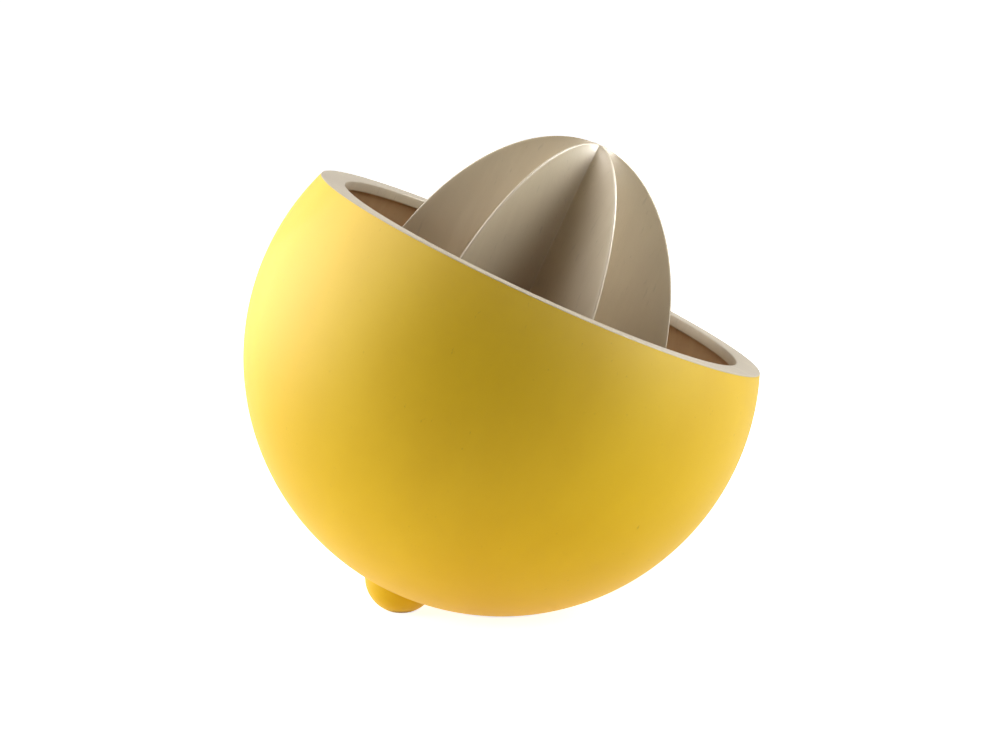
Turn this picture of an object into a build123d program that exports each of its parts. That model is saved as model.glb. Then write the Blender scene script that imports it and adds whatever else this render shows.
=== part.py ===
from build123d import *
from math import acos, asin, cos, degrees, radians, sin, sqrt
import os

# Ball-shaped citrus squeezer of turned wood, in millimetres and degrees.
# A hollow ball is cut off by a plane and painted outside. A pale ring caps its walls,
# and a fluted reamer stands on the floor inside. The bowl leans on its round underside
# and on a small nub at the foot of its axis. +Z is up, and +X is the way the bowl leans.
# The origin is the middle of the small flat under the ball.

# Ball and its two walls
ball_radius = 60.0
shell_wall = 3.0
liner_wall = 2.4
glue_gap = 0.05
rest_flat_radius = 6.5

# Rim ring
rim_height = 22.0
ring_thickness = 2.4
ring_edge_height = 0.5
ring_landing = 0.8
ring_edge_round = 0.3
lip_overhang = 1.1

# Floor of the bowl
floor_thickness = 26.0
floor_web = 5.0
floor_round = 9.0

# Nub at the foot of the axis
nub_radius = 8.5
nub_sink = 3.4
tenon_radius = 4.0
tenon_length = 8.0

# Reamer
juice_gap = 17.8
tip_above_rim = 32.6
waist_depth = 6.0
ridge_count = 6
reamer_turn = -6.0
flute_valley_share = 0.34
flute_hollow_share = 0.017
tip_flat_radius = 0.5
loft_spans = 9
seat_gap = 0.3

# Spigot, its seal and the pins that stop the reamer turning
spigot_radius = 9.0
spigot_hold = 20.0
spigot_chamfer = 1.0
socket_clearance = 0.3
socket_spare = 1.0
seal_radius = 1.1
seal_clearance = 0.1
pin_radius = 2.0
pin_circle_radius = 15.5
pin_count = 2
pin_hold = 6.0
pin_drop = 5.0
pin_round = 0.6

# Sizes worked out from those above
liner_outside = ball_radius - shell_wall - glue_gap
hollow_radius = liner_outside - liner_wall
ring_underside = rim_height - ring_thickness
floor_depth = ball_radius - floor_thickness
socket_depth = floor_thickness - tenon_length - floor_web
ball_height = sqrt(ball_radius**2 - rest_flat_radius**2)
nub_reach = ball_radius - nub_sink
lean = acos((ball_radius - nub_radius) / nub_reach)
reamer_half_width = hollow_radius - juice_gap
reamer_tip = rim_height + tip_above_rim
reamer_half_height = reamer_tip + waist_depth
reamer_base = seat_gap - floor_depth

# The bowl's own plane has its middle at the ball's centre and its normal along the bowl's axis.
# The section plane holds that axis: its x is the distance from the axis, its y the height.
bowl_plane = Plane(
    origin=(0, 0, ball_height), x_dir=(cos(lean), 0, -sin(lean)), z_dir=(sin(lean), 0, cos(lean))
)
bowl_axis = Axis(bowl_plane.origin, bowl_plane.z_dir)
section = Plane(origin=bowl_plane.origin, x_dir=bowl_plane.x_dir, z_dir=-bowl_plane.y_dir)


# Point of a sphere round the ball's centre at a height above that centre
def at_height(sphere_radius, height):
    return (sqrt(sphere_radius**2 - height**2), height)


# Point of the underside of a sphere round the ball's centre at a distance from the axis
def under(sphere_radius, distance):
    return (distance, -sqrt(sphere_radius**2 - distance**2))


# Radius of the reamer's ridges at a height: an ellipse round the waist
def ridge_radius(height):
    return reamer_half_width * sqrt(1 - ((height + waist_depth) / reamer_half_height) ** 2)


# Outer shell of the bowl, painted outside
ring_edge_corner = at_height(ball_radius, rim_height - ring_edge_height)
shell_top_inside = at_height(ball_radius - shell_wall, ring_underside)
mitre_foot = (shell_top_inside[0] + ring_landing, ring_underside)
tenon_hole_radius = tenon_radius + glue_gap
with BuildPart() as bowl_shell:
    with BuildSketch(section):
        with BuildLine():
            ThreePointArc(under(ball_radius, tenon_hole_radius), (ball_radius, 0), ring_edge_corner)
            Polyline(ring_edge_corner, mitre_foot, shell_top_inside)
            ThreePointArc(
                shell_top_inside,
                (ball_radius - shell_wall, 0),
                under(ball_radius - shell_wall, tenon_hole_radius),
            )
            Line(under(ball_radius - shell_wall, tenon_hole_radius), under(ball_radius, tenon_hole_radius))
        make_face()
    revolve(axis=bowl_axis)
    split(bisect_by=Plane.XY, keep=Keep.TOP)
bowl_shell.part.label = "bowl_shell"

# Inner bowl with a thick floor, a socket for the reamer's spigot and holes for its pins
liner_top = ring_underside - glue_gap
socket_radius = spigot_radius + socket_clearance
socket_bottom = -(floor_depth + socket_depth)
tenon_top = tenon_length - ball_radius
floor_corner = at_height(hollow_radius, -floor_depth)
with BuildPart() as bowl_liner:
    with BuildSketch(section) as liner_section:
        with BuildLine():
            Polyline(
                (0, socket_bottom),
                (socket_radius, socket_bottom),
                (socket_radius, -floor_depth),
                floor_corner,
            )
            ThreePointArc(floor_corner, (hollow_radius, 0), at_height(hollow_radius, liner_top))
            Line(at_height(hollow_radius, liner_top), at_height(liner_outside, liner_top))
            ThreePointArc(
                at_height(liner_outside, liner_top),
                (liner_outside, 0),
                under(liner_outside, tenon_hole_radius),
            )
            Polyline(
                under(liner_outside, tenon_hole_radius),
                (tenon_hole_radius, tenon_top + glue_gap),
                (0, tenon_top + glue_gap),
                (0, socket_bottom),
            )
        make_face()
        fillet(liner_section.vertices().sort_by_distance(floor_corner)[0], radius=floor_round)
    revolve(axis=bowl_axis)
    with BuildSketch(bowl_plane.offset(-floor_depth)):
        with PolarLocations(pin_circle_radius, pin_count, start_angle=reamer_turn):
            Circle(pin_radius + socket_clearance)
    extrude(amount=-(pin_drop + socket_spare), mode=Mode.SUBTRACT)
bowl_liner.part.label = "bowl_liner"

# Pale ring that caps both walls, mitred into the shell's top edge
mouth_radius = at_height(hollow_radius, ring_underside)[0] - lip_overhang
rim_corner = at_height(ball_radius, rim_height)
with BuildPart() as rim_ring:
    with BuildSketch(section) as ring_section:
        with BuildLine():
            Polyline(
                (mouth_radius, ring_underside),
                (mouth_radius, rim_height),
                rim_corner,
                (ring_edge_corner[0], ring_edge_corner[1] + glue_gap),
                (mitre_foot[0], ring_underside + glue_gap),
                (mitre_foot[0] - glue_gap, ring_underside),
                (mouth_radius, ring_underside),
            )
        make_face()
        for corner in (rim_corner, (mouth_radius, rim_height), (mouth_radius, ring_underside)):
            fillet(ring_section.vertices().sort_by_distance(corner)[0], radius=ring_edge_round)
    revolve(axis=bowl_axis)
rim_ring.part.label = "rim_ring"

# Nub: a round button outside the ball, with a tenon through the shell into the floor
nub_seat_radius = ball_radius + glue_gap
nub_seat_height = (nub_reach**2 + nub_seat_radius**2 - nub_radius**2) / (2 * nub_reach)
nub_seat = (sqrt(nub_seat_radius**2 - nub_seat_height**2), -nub_seat_height)
nub_bottom = (0, -(nub_reach + nub_radius))
nub_slope = asin(nub_seat[0] / nub_radius) / 2
with BuildPart() as nub_foot:
    with BuildSketch(section):
        with BuildLine():
            ThreePointArc(
                nub_bottom,
                (nub_radius * sin(nub_slope), -(nub_reach + nub_radius * cos(nub_slope))),
                nub_seat,
            )
            RadiusArc(nub_seat, under(nub_seat_radius, tenon_radius), nub_seat_radius)
            Polyline(
                under(nub_seat_radius, tenon_radius),
                (tenon_radius, tenon_top),
                (0, tenon_top),
                nub_bottom,
            )
        make_face()
    revolve(axis=bowl_axis)
    split(bisect_by=Plane.XY, keep=Keep.TOP)
nub_foot.part.label = "nub_foot"


# Outline of the fluted reamer at a height: two slightly hollow faces between each pair of ridges
def flute_outline(height):
    radius = ridge_radius(height)
    valley = radius * flute_valley_share
    half_pitch = radians(180 / ridge_count)
    for ridge in range(ridge_count):
        for side in (-1, 1):
            angle = 2 * half_pitch * ridge + radians(reamer_turn)
            ridge_point = Vector(radius * cos(angle), radius * sin(angle))
            valley_angle = angle + side * half_pitch
            valley_point = Vector(valley * cos(valley_angle), valley * sin(valley_angle))
            inwards = (ridge_point * (valley / radius) - valley_point).normalized()
            middle = (ridge_point + valley_point) * 0.5 + inwards * (radius * flute_hollow_share)
            ThreePointArc(ridge_point, middle, valley_point)


# Fluted reamer, bored underneath for the spigot and the pins. Its sections crowd towards the tip,
# as equal steps of angle round the ellipse do.
loft_start = asin((reamer_base + waist_depth) / reamer_half_height)
loft_step = (acos(tip_flat_radius / reamer_half_width) - loft_start) / loft_spans
loft_angles = [loft_start + loft_step * span for span in range(loft_spans + 1)]
loft_heights = [reamer_half_height * sin(angle) - waist_depth for angle in loft_angles]
with BuildPart() as reamer_head:
    for height in loft_heights:
        with BuildSketch(bowl_plane.offset(height)):
            with BuildLine():
                flute_outline(height)
            make_face()
    loft()
    with BuildSketch(bowl_plane.offset(reamer_base)):
        Circle(spigot_radius + glue_gap)
    extrude(amount=spigot_hold + glue_gap, mode=Mode.SUBTRACT)
    with BuildSketch(bowl_plane.offset(reamer_base)):
        with PolarLocations(pin_circle_radius, pin_count, start_angle=reamer_turn):
            Circle(pin_radius + glue_gap)
    extrude(amount=pin_hold + glue_gap, mode=Mode.SUBTRACT)
reamer_head.part.label = "reamer_head"

# Spigot glued into the reamer, with a groove for the seal, that drops into the floor's socket
spigot_bottom = socket_bottom + socket_spare
seal_height = (spigot_bottom - floor_depth) / 2
seal_middle_radius = socket_radius - seal_clearance - seal_radius
groove_radius = seal_middle_radius - seal_radius - glue_gap
groove_half_width = seal_radius + seal_clearance
with BuildPart() as reamer_spigot:
    with BuildSketch(section) as spigot_section:
        with BuildLine():
            Polyline(
                (0, spigot_bottom),
                (spigot_radius, spigot_bottom),
                (spigot_radius, seal_height - groove_half_width),
                (groove_radius, seal_height - groove_half_width),
                (groove_radius, seal_height + groove_half_width),
                (spigot_radius, seal_height + groove_half_width),
                (spigot_radius, reamer_base + spigot_hold),
                (0, reamer_base + spigot_hold),
                (0, spigot_bottom),
            )
        make_face()
        chamfer(
            spigot_section.vertices().sort_by_distance((spigot_radius, spigot_bottom))[0],
            length=spigot_chamfer,
        )
    revolve(axis=bowl_axis)
reamer_spigot.part.label = "reamer_spigot"

# Rubber ring in the spigot's groove
with BuildPart() as seal_ring:
    with BuildSketch(section):
        with Locations((seal_middle_radius, seal_height)):
            Circle(seal_radius)
    revolve(axis=bowl_axis)
seal_ring.part.label = "seal_ring"

# Pins glued into two of the ridges, which drop into holes in the floor and stop the reamer turning
with BuildPart() as drive_pins:
    with BuildSketch(bowl_plane.offset(reamer_base + pin_hold)):
        with PolarLocations(pin_circle_radius, pin_count, start_angle=reamer_turn):
            Circle(pin_radius)
    extrude(amount=-(pin_hold + seat_gap + pin_drop))
    pin_ends = drive_pins.faces().filter_by(GeomType.PLANE).sort_by(bowl_axis)[:pin_count]
    fillet(pin_ends.edges(), radius=pin_round)
drive_pins.part.label = "drive_pins"

os.makedirs("parts", exist_ok=True)
pieces = [bowl_shell, bowl_liner, rim_ring, nub_foot, reamer_head, reamer_spigot, seal_ring, drive_pins]
for piece in pieces:
    export_step(piece.part, f"parts/{piece.part.label}.step")
    print(piece.part.label, round(piece.part.volume), "mm3")
print("lean", round(degrees(lean), 2), "ball centre", round(ball_height, 2))
print("mouth radius", round(mouth_radius, 2))
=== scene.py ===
from math import acos, asin, atan2, cos, pi, radians, sin, sqrt

import bpy
import numpy as np
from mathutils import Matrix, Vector


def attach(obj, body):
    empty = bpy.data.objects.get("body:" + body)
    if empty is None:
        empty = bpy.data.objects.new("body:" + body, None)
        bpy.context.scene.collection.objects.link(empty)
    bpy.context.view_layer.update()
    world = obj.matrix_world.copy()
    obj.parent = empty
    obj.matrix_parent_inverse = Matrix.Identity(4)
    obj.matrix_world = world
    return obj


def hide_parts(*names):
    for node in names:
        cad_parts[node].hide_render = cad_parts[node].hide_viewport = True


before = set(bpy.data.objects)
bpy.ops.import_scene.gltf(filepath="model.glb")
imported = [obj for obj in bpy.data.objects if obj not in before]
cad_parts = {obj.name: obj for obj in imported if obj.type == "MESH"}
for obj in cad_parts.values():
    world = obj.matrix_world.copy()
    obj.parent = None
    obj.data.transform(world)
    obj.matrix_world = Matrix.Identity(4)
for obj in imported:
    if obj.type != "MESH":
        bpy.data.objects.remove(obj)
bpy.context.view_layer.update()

mm = 0.001
creaseAngle = radians(30)  # edges that turn by more than this stay sharp

# Sizes that the pieces share, as in the CAD model. Heights run along the bowl's axis from the ball's centre.
bowl = {"ballRadius": 60.0 * mm, "shellWall": 3.0 * mm, "linerWall": 2.4 * mm, "glueGap": 0.05 * mm,
        "restFlatRadius": 6.5 * mm, "rimHeight": 22.0 * mm, "ringThickness": 2.4 * mm,
        "floorDepth": 34.0 * mm, "nubRadius": 8.5 * mm, "nubReach": 56.6 * mm, "tenonRadius": 4.0 * mm,
        "tenonLength": 8.0 * mm, "pinCircle": 15.5 * mm, "pinRadius": 2.0 * mm, "reamerTurn": radians(-6),
        "spigotRadius": 9.0 * mm}
ballHeight = sqrt(bowl["ballRadius"] ** 2 - bowl["restFlatRadius"] ** 2)
lean = acos((bowl["ballRadius"] - bowl["nubRadius"]) / bowl["nubReach"])
linerOutside = bowl["ballRadius"] - bowl["shellWall"] - bowl["glueGap"]
hollowRadius = linerOutside - bowl["linerWall"]
ringUnderside = bowl["rimHeight"] - bowl["ringThickness"]

ballCentre = np.array([0.0, 0.0, ballHeight])
across = np.array([cos(lean), 0.0, -sin(lean)])
sideways = np.array([0.0, 1.0, 0.0])
along = np.array([sin(lean), 0.0, cos(lean)])


# A point of the bowl's own frame put into the object's: the ball's centre, plus x times across,
# y times sideways and h times the direction of the bowl's axis
def inBowl(x, y, h):
    return ballCentre + x[..., None] * across + y[..., None] * sideways + h[..., None] * along


# Quads between neighbouring rows and columns of a grid. The columns run round and join up, and the rows
# too where joinRows says so.
def gridFaces(rows, columns, joinRows=False):
    i = np.arange(rows if joinRows else rows - 1)[:, None]
    j = np.arange(columns)[None, :]
    nextRow, nextColumn = (i + 1) % rows, (j + 1) % columns
    quads = np.stack([i * columns + j, i * columns + nextColumn,
                      nextRow * columns + nextColumn, nextRow * columns + j], -1)
    return quads.reshape(-1, 4).tolist()


# Triangles between one pole and a closed row of points that starts at number first
def poleFaces(pole, first, columns, flipped):
    j = np.arange(columns)
    ring = np.stack([np.full(columns, pole), first + j, first + (j + 1) % columns], -1)
    return (ring[:, ::-1] if flipped else ring).tolist()


# Six times a closed mesh's volume: the sum over its triangles of one corner dotted with the cross product
# of the other two. It is negative when the faces point inwards.
def signedVolume(points, faces):
    total = 0.0
    for size in (3, 4):
        corners = np.array([f for f in faces if len(f) == size], int).reshape(-1, size)
        for k in range(1, size - 1):
            a, b, c = points[corners[:, 0]], points[corners[:, k]], points[corners[:, k + 1]]
            total += np.einsum("ij,ij->i", a, np.cross(b, c)).sum()
    return total


# A smooth mesh from points and faces, on its body and in place of its CAD nodes. Faces that point inwards
# are turned round first.
def addPiece(name, points, faces, material, body, nodes):
    points = points.reshape(-1, 3)
    if signedVolume(points, faces) < 0:
        faces = [f[::-1] for f in faces]
    mesh = bpy.data.meshes.new(name)
    mesh.from_pydata(points.tolist(), [], faces)
    mesh.polygons.foreach_set("use_smooth", np.ones(len(mesh.polygons), bool))
    mesh.set_sharp_from_angle(angle=creaseAngle)
    mesh.materials.append(material)
    piece = bpy.data.objects.new(name, mesh)
    bpy.context.scene.collection.objects.link(piece)
    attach(piece, body)
    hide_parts(*nodes)
    print("piece", name, len(mesh.polygons), "faces")
    return piece


# A run of points on a circle round (x, y) from one angle to another
def arc(x, y, radius, start, end, steps):
    turn = np.linspace(start, end, steps)
    return np.stack([x + radius * np.cos(turn), y + radius * np.sin(turn)], -1)


# A run of points on a sphere round the ball's centre, from one height to another
def sphereArc(radius, fromHeight, toHeight, steps):
    return arc(0, 0, radius, asin(fromHeight / radius), asin(toHeight / radius), steps)


# Points along a straight line, its ends included
def line(start, end, steps):
    return np.linspace(np.array(start, float), np.array(end, float), steps)


# A corner rounded with a radius, between the point before it and the point after it. The round's centre
# lies on the corner's bisector, at the radius over the sine of half the corner's angle.
def roundedCorner(before, point, after, radius, steps=5):
    point = np.array(point, float)
    toBefore, toAfter = np.array(before, float) - point, np.array(after, float) - point
    toBefore, toAfter = toBefore / np.linalg.norm(toBefore), toAfter / np.linalg.norm(toAfter)
    half = acos(np.clip(toBefore @ toAfter, -1, 1)) / 2
    middle = (toBefore + toAfter) / np.linalg.norm(toBefore + toAfter)
    centre = point + middle * radius / sin(half)
    start, end = point + toBefore * radius / np.tan(half), point + toAfter * radius / np.tan(half)
    startAngle = atan2(*(start - centre)[::-1])
    sweep = (atan2(*(end - centre)[::-1]) - startAngle + pi) % (2 * pi) - pi
    return arc(*centre, radius, startAngle, startAngle + sweep, steps)


# Surface of revolution: each (radius, height) of the profile goes round the bowl's axis, or round a
# parallel axis. A closed profile makes a ring; an open one starts and ends on the axis, in two poles.
def turned(profile, columns, closed=False, axisX=0.0, axisY=0.0):
    turn = np.linspace(0, 2 * pi, columns, endpoint=False)
    rows = profile if closed else profile[1:-1]
    grid = inBowl(axisX + rows[:, :1] * np.cos(turn), axisY + rows[:, :1] * np.sin(turn),
                  np.repeat(rows[:, 1:], columns, 1))
    faces = gridFaces(len(rows), columns, joinRows=closed)
    points = grid.reshape(-1, 3)
    if not closed:
        ends = inBowl(np.full(2, axisX), np.full(2, axisY), profile[[0, -1], 1])
        last = len(points)
        faces += poleFaces(last, 0, columns, True) + poleFaces(last + 1, last - columns, columns, False)
        points = np.concatenate([points, ends])
    return points, faces


# A material whose shader has a roughness and a specular level
def newMaterial(name, roughness, specular):
    material = bpy.data.materials.new(name)
    material.use_nodes = True
    shader = material.node_tree.nodes["Principled BSDF"]
    shader.inputs["Roughness"].default_value = roughness
    shader.inputs["Specular IOR Level"].default_value = specular
    return material, shader


# Joins an output to an input in a material's tree
def link(material, source, target):
    material.node_tree.links.new(source, target)


# Object coordinates turned so that Z runs along the bowl's axis, then stretched
def alongAxis(material, stretch):
    nodes = material.node_tree.nodes
    place = nodes.new("ShaderNodeTexCoord")
    turn, scale = nodes.new("ShaderNodeMapping"), nodes.new("ShaderNodeMapping")
    turn.inputs["Rotation"].default_value = (0, -lean, 0)
    scale.inputs["Scale"].default_value = stretch
    link(material, place.outputs["Object"], turn.inputs["Vector"])
    link(material, turn.outputs["Vector"], scale.inputs["Vector"])
    return scale.outputs["Vector"]


# Noise between 0 and 1 at each place. The larger the scale, the smaller its grains.
def noise(material, place, scale, detail=3.0):
    node = material.node_tree.nodes.new("ShaderNodeTexNoise")
    node.inputs["Scale"].default_value = scale
    node.inputs["Detail"].default_value = detail
    link(material, place, node.inputs["Vector"])
    return node.outputs["Fac"]


# lowResult below low, highResult above high, and a smooth step from one to the other between them
def ramp(material, value, low, high, lowResult=0.0, highResult=1.0):
    node = material.node_tree.nodes.new("ShaderNodeMapRange")
    node.interpolation_type = "SMOOTHSTEP"
    for key, number in zip(("From Min", "From Max", "To Min", "To Max"), (low, high, lowResult, highResult)):
        node.inputs[key].default_value = number
    link(material, value, node.inputs["Value"])
    return node.outputs["Result"]


# The first colour where the factor is 0, the second where it is 1. Each is a fixed colour or an output.
def mixColours(material, factor, first, second):
    node = material.node_tree.nodes.new("ShaderNodeMix")
    node.data_type = "RGBA"
    link(material, factor, node.inputs[0])
    for colour, socket in ((first, node.inputs[6]), (second, node.inputs[7])):
        if isinstance(colour, tuple):
            socket.default_value = (*colour, 1.0)
        else:
            link(material, colour, socket)
    return node.outputs[2]


# Tilts the shading by the slopes of a height from 0 to 1 that stands for a distance
def addBump(material, shader, height, strength, distance):
    node = material.node_tree.nodes.new("ShaderNodeBump")
    node.inputs["Strength"].default_value = strength
    node.inputs["Distance"].default_value = distance
    link(material, height, node.inputs["Height"])
    link(material, node.outputs["Normal"], shader.inputs["Normal"])


# Matt yellow lacquer: cloudy in tone, with a fine grain and a few pores that show through
lacquer = {"deep": (0.77, 0.475, 0.003), "light": (0.81, 0.515, 0.006), "pore": (0.50, 0.29, 0.003),
           "roughness": 0.58, "specular": 0.3, "sheen": 0.05, "sheenRoughness": 0.35,
           "stretch": (1, 1, 0.5), "cloudScale": 45, "cloudRange": (0.3, 0.7), "poreScale": 900,
           "poreRange": (0.70, 0.78), "poreShare": 0.5, "grainScale": 2600, "bump": 0.25,
           "bumpDepth": 0.05 * mm}
yellowLacquer, shader = newMaterial("yellowLacquer", lacquer["roughness"], lacquer["specular"])
shader.inputs["Sheen Weight"].default_value = lacquer["sheen"]
shader.inputs["Sheen Roughness"].default_value = lacquer["sheenRoughness"]
even = alongAxis(yellowLacquer, lacquer["stretch"])
cloud = ramp(yellowLacquer, noise(yellowLacquer, even, lacquer["cloudScale"]), *lacquer["cloudRange"])
pores = ramp(yellowLacquer, noise(yellowLacquer, even, lacquer["poreScale"]), *lacquer["poreRange"],
             highResult=lacquer["poreShare"])
tone = mixColours(yellowLacquer, cloud, lacquer["deep"], lacquer["light"])
link(yellowLacquer, mixColours(yellowLacquer, pores, tone, lacquer["pore"]), shader.inputs["Base Color"])
addBump(yellowLacquer, shader, noise(yellowLacquer, even, lacquer["grainScale"]), lacquer["bump"],
        lacquer["bumpDepth"])


# Wood: close grain along the bowl's axis in three tones, with short darker flecks, and a painted highlight
# that makes sharp ridges and edges paler
def woodMaterial(name, wood):
    material, shader = newMaterial(name, wood["roughness"], wood["specular"])
    shader.inputs["Sheen Weight"].default_value = wood["sheen"]
    shader.inputs["Sheen Roughness"].default_value = wood["sheenRoughness"]
    grain = alongAxis(material, wood["stretch"])
    cloud = ramp(material, noise(material, grain, wood["cloudScale"]), *wood["cloudRange"])
    streak = ramp(material, noise(material, grain, wood["streakScale"], wood["streakDetail"]),
                  *wood["streakRange"])
    fleck = ramp(material, noise(material, grain, wood["fleckScale"]), *wood["fleckRange"],
                 highResult=wood["fleckShare"])
    tone = mixColours(material, cloud, wood["dark"], wood["light"])
    tone = mixColours(material, streak, tone, wood["streak"])
    tone = mixColours(material, fleck, tone, wood["fleck"])
    geometry = material.node_tree.nodes.new("ShaderNodeNewGeometry")
    # painted highlight: sharp ridges and edges, found by their pointiness, turn towards a pale cream colour
    edge = ramp(material, geometry.outputs["Pointiness"], *wood["edgeRange"], highResult=wood["edgeShare"])
    link(material, mixColours(material, edge, tone, wood["edge"]), shader.inputs["Base Color"])
    bump = noise(material, grain, wood["fleckScale"] * 2)  # twice as fine as the flecks
    addBump(material, shader, bump, wood["bump"], wood["bumpDepth"])
    return material


# The reamer's wood, and what differs on the rim, in the inner bowl and on the spigot and pins
# The pale cream colour for sharp ridges and edges is a painted highlight, and its share says how strongly it
# shows on each wood
pale = {"dark": (0.53, 0.41, 0.25), "light": (0.59, 0.47, 0.295), "streak": (0.56, 0.44, 0.27),
        "fleck": (0.36, 0.28, 0.19), "fleckShare": 0.35, "edge": (0.80, 0.69, 0.51), "edgeShare": 0.5,
        "roughness": 0.48, "specular": 0.9, "sheen": 0.1, "sheenRoughness": 0.4, "stretch": (1, 1, 0.12),
        "cloudScale": 60, "cloudRange": (0.3, 0.7), "streakScale": 420, "streakDetail": 4,
        "streakRange": (0.35, 0.65), "fleckScale": 1500, "fleckRange": (0.64, 0.74),
        "edgeRange": (0.52, 0.60), "bump": 0.35, "bumpDepth": 0.06 * mm}
rim = {**pale, "dark": (0.51, 0.41, 0.28), "light": (0.56, 0.46, 0.32), "streak": (0.53, 0.43, 0.30),
       "specular": 0.4, "edgeShare": 0.1}
# The inner bowl's wood is darker and browner than the reamer's: partly the unfinished inside, partly painted
# shade of the hollow
inner = {**pale, "dark": (0.44, 0.26, 0.125), "light": (0.52, 0.33, 0.17), "streak": (0.48, 0.295, 0.15),
         "fleck": (0.30, 0.17, 0.08), "edgeShare": 0.0, "roughness": 0.6, "specular": 0.3, "sheen": 0.0}
dowel = {**pale, "dark": (0.50, 0.33, 0.19), "light": (0.60, 0.42, 0.26), "streak": (0.54, 0.37, 0.22),
         "fleck": (0.30, 0.17, 0.09), "fleckShare": 0.6, "fleckScale": 1100, "edgeShare": 0.2}
paleWood = woodMaterial("paleWood", pale)
rimWood = woodMaterial("rimWood", rim)
innerWood = woodMaterial("innerWood", inner)
dowelWood = woodMaterial("dowelWood", dowel)

# The seal's pale rubber lets a little light in
rubber = {"colour": (0.80, 0.79, 0.74), "roughness": 0.45, "specular": 0.5, "subsurface": 0.3,
          "subsurfaceDepth": 1.5 * mm}
sealRubber, shader = newMaterial("sealRubber", rubber["roughness"], rubber["specular"])
shader.inputs["Base Color"].default_value = (*rubber["colour"], 1)
shader.inputs["Subsurface Weight"].default_value = rubber["subsurface"]
shader.inputs["Subsurface Scale"].default_value = rubber["subsurfaceDepth"]
print("materials made")


# Height of a sphere's underside at a distance from the axis
def under(radius, distance):
    return -sqrt(radius ** 2 - distance ** 2)


# Outer shell: two arcs round the ball's centre, the outer one cut flat at the table
shell = {"ringEdgeHeight": 0.2 * mm, "ringLanding": 0.8 * mm, "outerSteps": 110, "innerSteps": 50,
         "mitreSteps": 4, "columns": 288}
outerRadius, innerRadius = bowl["ballRadius"], bowl["ballRadius"] - bowl["shellWall"]
holeRadius = bowl["tenonRadius"] + bowl["glueGap"]
edgeHeight = bowl["rimHeight"] - shell["ringEdgeHeight"]
edgeCorner = (sqrt(outerRadius ** 2 - edgeHeight ** 2), edgeHeight)
shellTop = (sqrt(innerRadius ** 2 - ringUnderside ** 2), ringUnderside)
mitreFoot = (shellTop[0] + shell["ringLanding"], ringUnderside)
profile = np.concatenate([
    sphereArc(outerRadius, under(outerRadius, holeRadius), edgeHeight, shell["outerSteps"]),
    line(edgeCorner, mitreFoot, shell["mitreSteps"])[1:],
    [shellTop],
    sphereArc(innerRadius, ringUnderside, under(innerRadius, holeRadius), shell["innerSteps"])[1:]])
points, faces = turned(profile, shell["columns"], closed=True)
points[:, 2] = np.maximum(points[:, 2], 0)
addPiece("bowlShell", points, faces, yellowLacquer, "bowl", ["bowl_shell"])


# Nub: a round button on the ball, with its tenon through the shell
nub = {"buttonSteps": 40, "seatSteps": 8, "columns": 128}
seatRadius = outerRadius + bowl["glueGap"]
seatHeight = (bowl["nubReach"] ** 2 + seatRadius ** 2 - bowl["nubRadius"] ** 2) / (2 * bowl["nubReach"])
seatDistance = sqrt(seatRadius ** 2 - seatHeight ** 2)
tenonTop = bowl["tenonLength"] - outerRadius
button = arc(0, -bowl["nubReach"], bowl["nubRadius"], -pi / 2,
             atan2(bowl["nubReach"] - seatHeight, seatDistance), nub["buttonSteps"])
profile = np.concatenate([
    button,
    sphereArc(seatRadius, -seatHeight, under(seatRadius, bowl["tenonRadius"]), nub["seatSteps"])[1:],
    [(bowl["tenonRadius"], tenonTop), (0, tenonTop)]])
points, faces = turned(profile, nub["columns"])
points[:, 2] = np.maximum(points[:, 2], 0)
addPiece("nubFoot", points, faces, yellowLacquer, "bowl", ["nub_foot"])


# Rim ring: a flat band over both walls, its three free edges rounded
ring = {"lipOverhang": 1.1 * mm, "edgeRound": 0.3 * mm, "outerRound": 0.12 * mm, "columns": 288}
mouthRadius = sqrt(hollowRadius ** 2 - ringUnderside ** 2) - ring["lipOverhang"]
rimCorner = (sqrt(outerRadius ** 2 - bowl["rimHeight"] ** 2), bowl["rimHeight"])
ringCorner = (edgeCorner[0], edgeHeight + bowl["glueGap"])
ringFoot = (mitreFoot[0], ringUnderside + bowl["glueGap"])
lipTop, lipFoot = (mouthRadius, bowl["rimHeight"]), (mouthRadius, ringUnderside)
ringHeel = (mitreFoot[0] - bowl["glueGap"], ringUnderside)
profile = np.concatenate([
    roundedCorner(ringHeel, lipFoot, lipTop, ring["edgeRound"]),
    roundedCorner(lipFoot, lipTop, rimCorner, ring["edgeRound"]),
    roundedCorner(lipTop, rimCorner, ringCorner, ring["outerRound"]),
    [ringCorner, ringFoot, ringHeel]])
points, faces = turned(profile, ring["columns"], closed=True)
addPiece("rimRing", points, faces, rimWood, "bowl", ["rim_ring"])


pinHole = {"columns": 40, "standOut": 1.0 * mm}  # how far a cutter stands out of the surface it cuts


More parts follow.
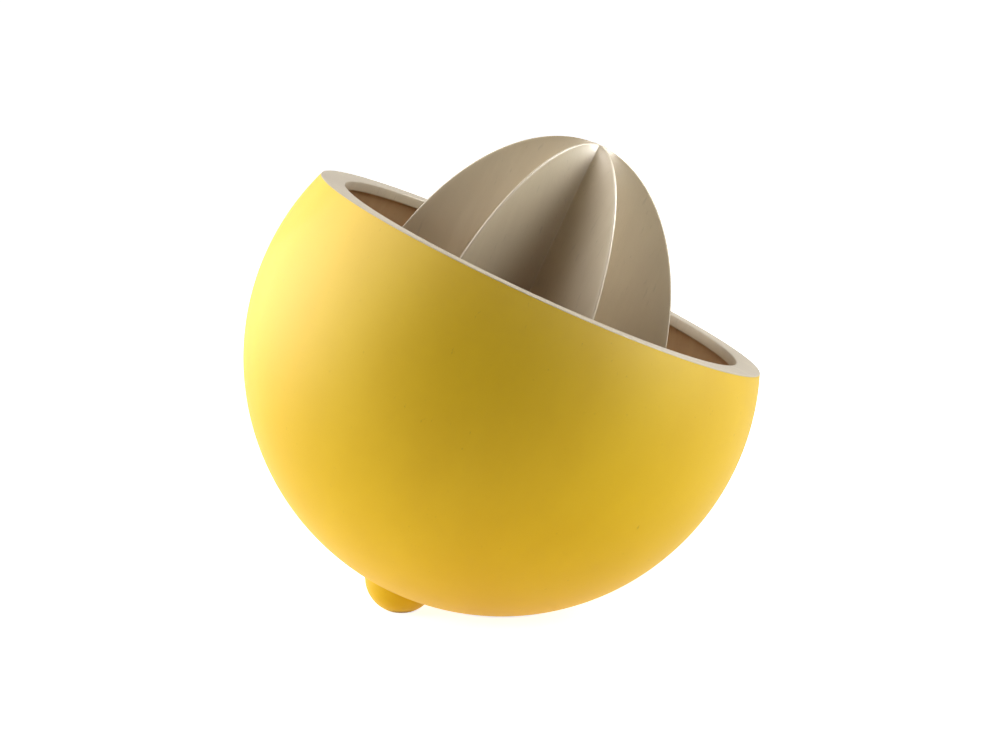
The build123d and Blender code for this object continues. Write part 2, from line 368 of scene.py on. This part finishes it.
# Cuts the two pin holes into a piece, between two heights, on opposite sides of the axis
def cutPinHoles(piece, radius, low, high):
    cutters = []
    for side in (0, pi):
        turn = bowl["reamerTurn"] + side
        profile = np.array([(0, low), (radius, low), (radius, high), (0, high)])
        points, faces = turned(profile, pinHole["columns"], axisX=bowl["pinCircle"] * cos(turn),
                               axisY=bowl["pinCircle"] * sin(turn))
        if signedVolume(points, faces) < 0:
            faces = [f[::-1] for f in faces]
        mesh = bpy.data.meshes.new("cutter")
        mesh.from_pydata(points.tolist(), [], faces)
        cutter = bpy.data.objects.new("cutter", mesh)
        bpy.context.scene.collection.objects.link(cutter)
        cutters.append(cutter)
        cut = piece.modifiers.new("pinHole", "BOOLEAN")
        cut.operation, cut.solver, cut.object = "DIFFERENCE", "EXACT", cutter
    bpy.context.view_layer.update()
    depsgraph = bpy.context.evaluated_depsgraph_get()
    mesh = bpy.data.meshes.new_from_object(piece.evaluated_get(depsgraph), preserve_all_data_layers=True,
                                           depsgraph=depsgraph)
    piece.modifiers.clear()
    piece.data = mesh
    mesh.name = piece.name
    mesh.set_sharp_from_angle(angle=creaseAngle)
    for cutter in cutters:
        bpy.data.objects.remove(cutter)
    print("pin holes cut in", piece.name, len(mesh.polygons), "faces")


# Inner bowl: hollow with a rounded floor corner, a socket for the spigot and two pin holes
liner = {"floorThickness": 26.0 * mm, "floorWeb": 5.0 * mm, "floorRound": 9.0 * mm, "clearance": 0.3 * mm,
         "socketSpare": 1.0 * mm, "pinDrop": 5.0 * mm, "floorSteps": 5, "roundSteps": 14,
         "hollowSteps": 70, "outerSteps": 50, "columns": 288}
floorHeight = -bowl["floorDepth"]
socketRadius = bowl["spigotRadius"] + liner["clearance"]
socketBottom = floorHeight - (liner["floorThickness"] - bowl["tenonLength"] - liner["floorWeb"])
linerTop = ringUnderside - bowl["glueGap"]
# the floor's round touches the floor and the hollow from inside
roundHeight = floorHeight + liner["floorRound"]
roundDistance = sqrt((hollowRadius - liner["floorRound"]) ** 2 - roundHeight ** 2)
roundEnd = atan2(roundHeight, roundDistance)
floorRound = arc(roundDistance, roundHeight, liner["floorRound"], -pi / 2, roundEnd, liner["roundSteps"])
hollow = arc(0, 0, hollowRadius, roundEnd, asin(linerTop / hollowRadius), liner["hollowSteps"])
profile = np.concatenate([
    [(0, socketBottom), (socketRadius, socketBottom), (socketRadius, floorHeight)],
    line((socketRadius, floorHeight), floorRound[0], liner["floorSteps"])[1:],
    floorRound[1:],
    hollow[1:],
    sphereArc(linerOutside, linerTop, under(linerOutside, holeRadius), liner["outerSteps"]),
    [(holeRadius, tenonTop + bowl["glueGap"]), (0, tenonTop + bowl["glueGap"])]])
points, faces = turned(profile, liner["columns"])
innerBowl = addPiece("bowlLiner", points, faces, innerWood, "bowl", ["bowl_liner"])
cutPinHoles(innerBowl, bowl["pinRadius"] + liner["clearance"],
            floorHeight - liner["pinDrop"] - liner["socketSpare"], floorHeight + pinHole["standOut"])


# Reamer: a star of six ridges whose size follows an ellipse up the axis. At each height the outline runs
# from a rounded ridge down a slightly hollow face to a rounded valley, and back up to the next ridge.
reamer = {"ridges": 6, "juiceGap": 17.8 * mm, "tipAboveRim": 32.6 * mm, "waist": 6.0 * mm,
          "valleyShare": 0.34, "hollowTurn": radians(5.4), "ridgeRound": 0.35 * mm,
          "ridgeRoundShare": 0.06, "valleyRound": 0.2 * mm, "valleyRoundShare": 0.012,
          "seatGap": 0.3 * mm, "spigotHold": 20.0 * mm, "pinHold": 6.0 * mm, "rows": 110,
          "ridgeSteps": 4, "faceSteps": 16, "valleySteps": 4, "underRows": 4,
          "firstSlope": radians(13.5), "slopeRounds": 6}
halfWidth = hollowRadius - reamer["juiceGap"]
tipHeight = bowl["rimHeight"] + reamer["tipAboveRim"]
halfHeight = tipHeight + reamer["waist"]
baseHeight = floorHeight + reamer["seatGap"]
halfPitch = pi / reamer["ridges"]
rise = np.linspace(asin((baseHeight + reamer["waist"]) / halfHeight), pi / 2, reamer["rows"])[:-1]
heights = halfHeight * np.sin(rise) - reamer["waist"]
ridgeRadii = (halfWidth * np.cos(rise))[:, None]


# Half of one flute at every height, from the middle of a ridge to the middle of a valley: an arc, a cubic
# curve that leaves and arrives along the two rounds' slopes, and an arc
def halfFlute(width):
    ridgeRound = np.minimum(reamer["ridgeRound"], width * reamer["ridgeRoundShare"])
    valleyRound = np.minimum(reamer["valleyRound"], width * reamer["valleyRoundShare"])
    valley = width * reamer["valleyShare"]
    ridgeX = width - ridgeRound
    valleyX, valleyY = (valley + valleyRound) * cos(halfPitch), (valley + valleyRound) * sin(halfPitch)
    slope = np.full_like(width, reamer["firstSlope"])
    for attempt in range(reamer["slopeRounds"]):  # the slope settles where the face touches both rounds
        ridgeSlope, valleySlope = slope - reamer["hollowTurn"], slope + reamer["hollowTurn"]
        startX, startY = ridgeX + ridgeRound * np.sin(ridgeSlope), ridgeRound * np.cos(ridgeSlope)
        endX, endY = valleyX - valleyRound * np.sin(valleySlope), valleyY - valleyRound * np.cos(valleySlope)
        slope = np.arctan2(endY - startY, startX - endX)
    turn = np.linspace(0, 1, reamer["ridgeSteps"] + 1)[None, :-1] * (pi / 2 - ridgeSlope)
    ridgePart = ridgeX + ridgeRound * np.cos(turn), ridgeRound * np.sin(turn)
    s = np.linspace(0, 1, reamer["faceSteps"] + 1)[None, :]
    length = np.hypot(endX - startX, endY - startY)
    keepStart, keepEnd = 2 * s ** 3 - 3 * s ** 2 + 1, -2 * s ** 3 + 3 * s ** 2
    leave, arrive = (s ** 3 - 2 * s ** 2 + s) * length, (s ** 3 - s ** 2) * length
    facePart = (keepStart * startX + keepEnd * endX
                - leave * np.cos(ridgeSlope) - arrive * np.cos(valleySlope),
                keepStart * startY + keepEnd * endY
                + leave * np.sin(ridgeSlope) + arrive * np.sin(valleySlope))
    turn = (-pi / 2 - valleySlope
            - np.linspace(0, 1, reamer["valleySteps"] + 1)[None, 1:] * (pi / 2 - halfPitch - valleySlope))
    valleyPart = valleyX + valleyRound * np.cos(turn), valleyY + valleyRound * np.sin(turn)
    return [np.concatenate([a, b, c], 1) for a, b, c in zip(ridgePart, facePart, valleyPart)]


halfX, halfY = halfFlute(ridgeRadii)
size = np.hypot(halfX, halfY)
turn = np.arctan2(halfY, halfX)
# the other half mirrors the first at the valley; both middles appear once
size = np.concatenate([size, size[:, -2:0:-1]], 1)
turn = np.concatenate([turn, 2 * halfPitch - turn[:, -2:0:-1]], 1)
size = np.tile(size, (1, reamer["ridges"]))
ridgeTurns = 2 * halfPitch * np.arange(reamer["ridges"])
turn = (turn[:, None, :] + ridgeTurns[None, :, None]).reshape(len(turn), -1) + bowl["reamerTurn"]
columns = size.shape[1]
# underneath, the outline closes in to the spigot's bore and goes up it
boreRadius = bowl["spigotRadius"] + bowl["glueGap"]
boreTop = baseHeight + reamer["spigotHold"] + bowl["glueGap"]
share = np.linspace(1, 0, reamer["underRows"] + 1)[:-1, None]
underSize = boreRadius + (size[:1] - boreRadius) * share
boreSize = np.full((2, columns), boreRadius)  # the bore has two rows, its top and its mouth
size = np.concatenate([boreSize, underSize[::-1], size[1:]])
turn = np.concatenate([np.repeat(turn[:1], reamer["underRows"] + 2, 0), turn[1:]])
heights = np.concatenate([[boreTop], np.full(reamer["underRows"] + 1, baseHeight), heights[1:]])
grid = inBowl(size * np.cos(turn), size * np.sin(turn), np.repeat(heights[:, None], columns, 1))
ends = inBowl(np.zeros(2), np.zeros(2), np.array([boreTop, tipHeight]))
points = np.concatenate([grid.reshape(-1, 3), ends])
last = grid.shape[0] * columns
faces = (gridFaces(grid.shape[0], columns) + poleFaces(last, 0, columns, True)
         + poleFaces(last + 1, last - columns, columns, False))
reamerHead = addPiece("reamerHead", points, faces, paleWood, "reamer", ["reamer_head"])
cutPinHoles(reamerHead, bowl["pinRadius"] + bowl["glueGap"], baseHeight - pinHole["standOut"],
            baseHeight + reamer["pinHold"] + bowl["glueGap"])

# The spigot, its pins and its seal keep the CAD model's shapes
for node, material, slotName in (("reamer_spigot", dowelWood, "dowel_wood"),
                                 ("drive_pins", dowelWood, "dowel_wood"),
                                 ("seal_ring", sealRubber, "seal_rubber")):
    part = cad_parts[node]
    part.data.materials.clear()
    part.data.materials.append(material)
print("pieces made")


# 1 for camera, glossy and transmission rays, which show a backdrop itself, and 0 for all others
def shownDirectly(tree):
    rays = tree.nodes.new("ShaderNodeLightPath")
    shown = rays.outputs["Is Camera Ray"]
    for kind in ("Is Glossy Ray", "Is Transmission Ray"):
        larger = tree.nodes.new("ShaderNodeMath")
        larger.operation = "MAXIMUM"
        tree.links.new(shown, larger.inputs[0])
        tree.links.new(rays.outputs[kind], larger.inputs[1])
        shown = larger.outputs[0]
    return shown


# Floor: pale and plain. Its glow, which rises from near the object outwards, shows it white to the camera,
# and it keeps the object's faint shadow.
floor = {"half": 6.0, "albedo": 0.75, "roughness": 1.0, "specular": 0.0, "glow": 0.84, "farGlow": 1.0,
         "near": 0.15, "far": 0.6}
mesh = bpy.data.meshes.new("floor")
half = floor["half"]
mesh.from_pydata([(-half, -half, 0), (half, -half, 0), (half, half, 0), (-half, half, 0)], [], [(0, 1, 2, 3)])
floorPiece = bpy.data.objects.new("floor", mesh)
bpy.context.scene.collection.objects.link(floorPiece)
paper, shader = newMaterial("paper", floor["roughness"], floor["specular"])
shader.inputs["Base Color"].default_value = (floor["albedo"],) * 3 + (1,)
nodes = paper.node_tree.nodes
glow, total = nodes.new("ShaderNodeEmission"), nodes.new("ShaderNodeAddShader")
seen = nodes.new("ShaderNodeMixShader")
place, reach = nodes.new("ShaderNodeTexCoord"), nodes.new("ShaderNodeVectorMath")
reach.operation = "LENGTH"
link(paper, place.outputs["Object"], reach.inputs[0])
link(paper, ramp(paper, reach.outputs["Value"], floor["near"], floor["far"], floor["glow"], floor["farGlow"]),
     glow.inputs["Strength"])
link(paper, shader.outputs[0], total.inputs[0])
link(paper, glow.outputs[0], total.inputs[1])
link(paper, shownDirectly(paper.node_tree), seen.inputs[0])
link(paper, shader.outputs[0], seen.inputs[1])
link(paper, total.outputs[0], seen.inputs[2])
link(paper, seen.outputs[0], nodes["Material Output"].inputs["Surface"])
mesh.materials.append(paper)


# World: white where the camera, gloss and glass see it, and nearly dark as a light
sky = {"fill": 0.05}
world = bpy.data.worlds.new("studio")
bpy.context.scene.world = world
world.use_nodes = True
nodes, links = world.node_tree.nodes, world.node_tree.links
level = nodes.new("ShaderNodeMapRange")
level.inputs["To Min"].default_value = sky["fill"]
links.new(shownDirectly(world.node_tree), level.inputs["Value"])
nodes["Background"].inputs["Color"].default_value = (1, 1, 1, 1)
links.new(level.outputs["Result"], nodes["Background"].inputs["Strength"])


# A low and a high soft box on the left, a low one on the right and a small warm light table under the ball.
# Three more boxes light nothing diffuse. They only make the broad pale shine on faces turned up and
# sideways. A direction is an azimuth from the camera's side, positive to the right, and an elevation.
white, cool, warm = (1.0, 1.0, 1.0), (0.93, 1.0, 1.02), (1.0, 0.88, 0.60)
lamps = {
    "leftLow": {"direction": (-93, 8), "distance": 0.8, "size": 0.6, "power": 6.4, "colour": cool},
    "leftHigh": {"direction": (-98, 60), "distance": 0.8, "size": 0.6, "power": 3.9, "colour": white},
    "right": {"direction": (88, 9), "distance": 0.8, "size": 0.7, "power": 6.8, "colour": cool},
    "table": {"direction": (0, -90), "distance": 0.0591, "size": 0.35, "power": 0.12, "colour": warm},
    "lowShine": {"direction": (-122, 12), "distance": 0.8, "size": 0.6, "power": 6.0, "colour": white},
    "leftShine": {"direction": (-88, 42), "distance": 0.8, "size": 0.7, "power": 7.0, "colour": white},
    "rightShine": {"direction": (92, 42), "distance": 0.8, "size": 0.7, "power": 27.0, "colour": white}}
for name, lamp in lamps.items():
    light = bpy.data.lights.new(name, "AREA")
    light.shape, light.size = "SQUARE", lamp["size"]
    light.energy, light.color = lamp["power"], lamp["colour"]
    holder = bpy.data.objects.new(name, light)
    bpy.context.scene.collection.objects.link(holder)
    azimuth, elevation = [radians(angle) for angle in lamp["direction"]]
    outwards = Vector((sin(azimuth) * cos(elevation), -cos(azimuth) * cos(elevation), sin(elevation)))
    holder.location = Vector(ballCentre) + outwards * lamp["distance"]
    holder.rotation_euler = (-outwards).to_track_quat("-Z", "Y").to_euler()
    holder.visible_camera = False
    holder.visible_diffuse = not name.endswith("Shine")


# Camera: a long lens a little above the table. The ball's centre lies a few millimetres off the aim.
view = {"distance": 1.3, "elevation": radians(7.4), "lens": 201.5, "sensor": 36.0, "clipNear": 0.05,
        "clipFar": 50.0, "aimRight": -0.42 * mm, "aimUp": -3.98 * mm}
camera = bpy.data.objects.new("camera", bpy.data.cameras.new("camera"))
bpy.context.scene.collection.objects.link(camera)
camera.data.lens, camera.data.sensor_width = view["lens"], view["sensor"]
camera.data.clip_start, camera.data.clip_end = view["clipNear"], view["clipFar"]
camera.location = Vector((0, -view["distance"] * cos(view["elevation"]),
                          ballHeight + view["distance"] * sin(view["elevation"])))
aim = Vector((view["aimRight"], 0, ballHeight + view["aimUp"]))
camera.rotation_euler = (aim - camera.location).to_track_quat("-Z", "Y").to_euler()
bpy.context.scene.camera = camera
bpy.context.scene.view_settings.view_transform = "Standard"

print("scene ready")
